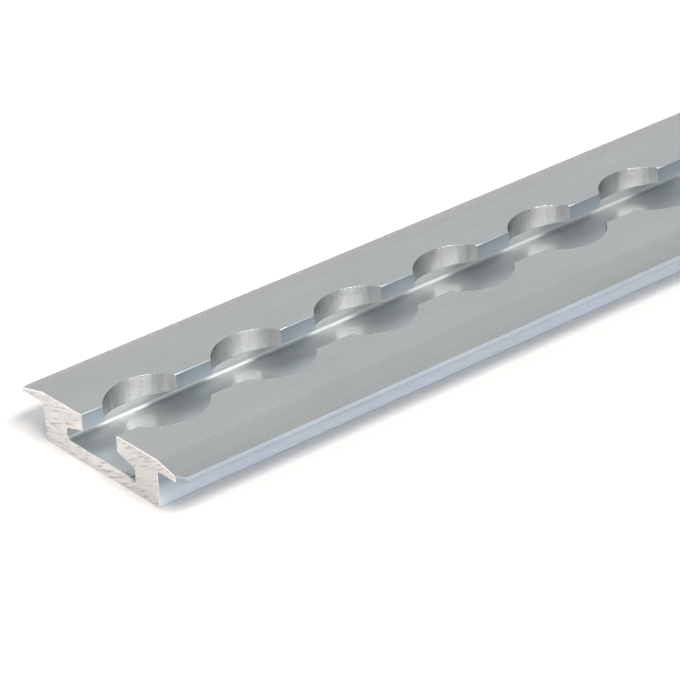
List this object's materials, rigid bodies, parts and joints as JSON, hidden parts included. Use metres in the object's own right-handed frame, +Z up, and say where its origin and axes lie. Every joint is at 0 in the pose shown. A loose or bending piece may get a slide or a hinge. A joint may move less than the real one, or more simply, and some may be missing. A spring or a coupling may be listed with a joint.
{
  "type": "recessed airline rail",
  "caption": "Flush-mount aluminium airline rail: an extrusion with tapered side flanges and an undercut channel, opened by round cut-outs at one-inch pitch.",
  "frame": {"origin": "middle of the underside, halfway along the rail", "axes": "+X along the rail, +Y across it, +Z up, out of the channel's open side"},
  "size_m": [0.3048, 0.0484, 0.0103],
  "materials": {
    "mill_aluminium": "mill finish, satin, with fine die lines along the length; bright milled cut-outs and rough sawn ends"
  },
  "bodies": {
    "root": {"rail": "mill_aluminium"}
  },
  "joints": []
}
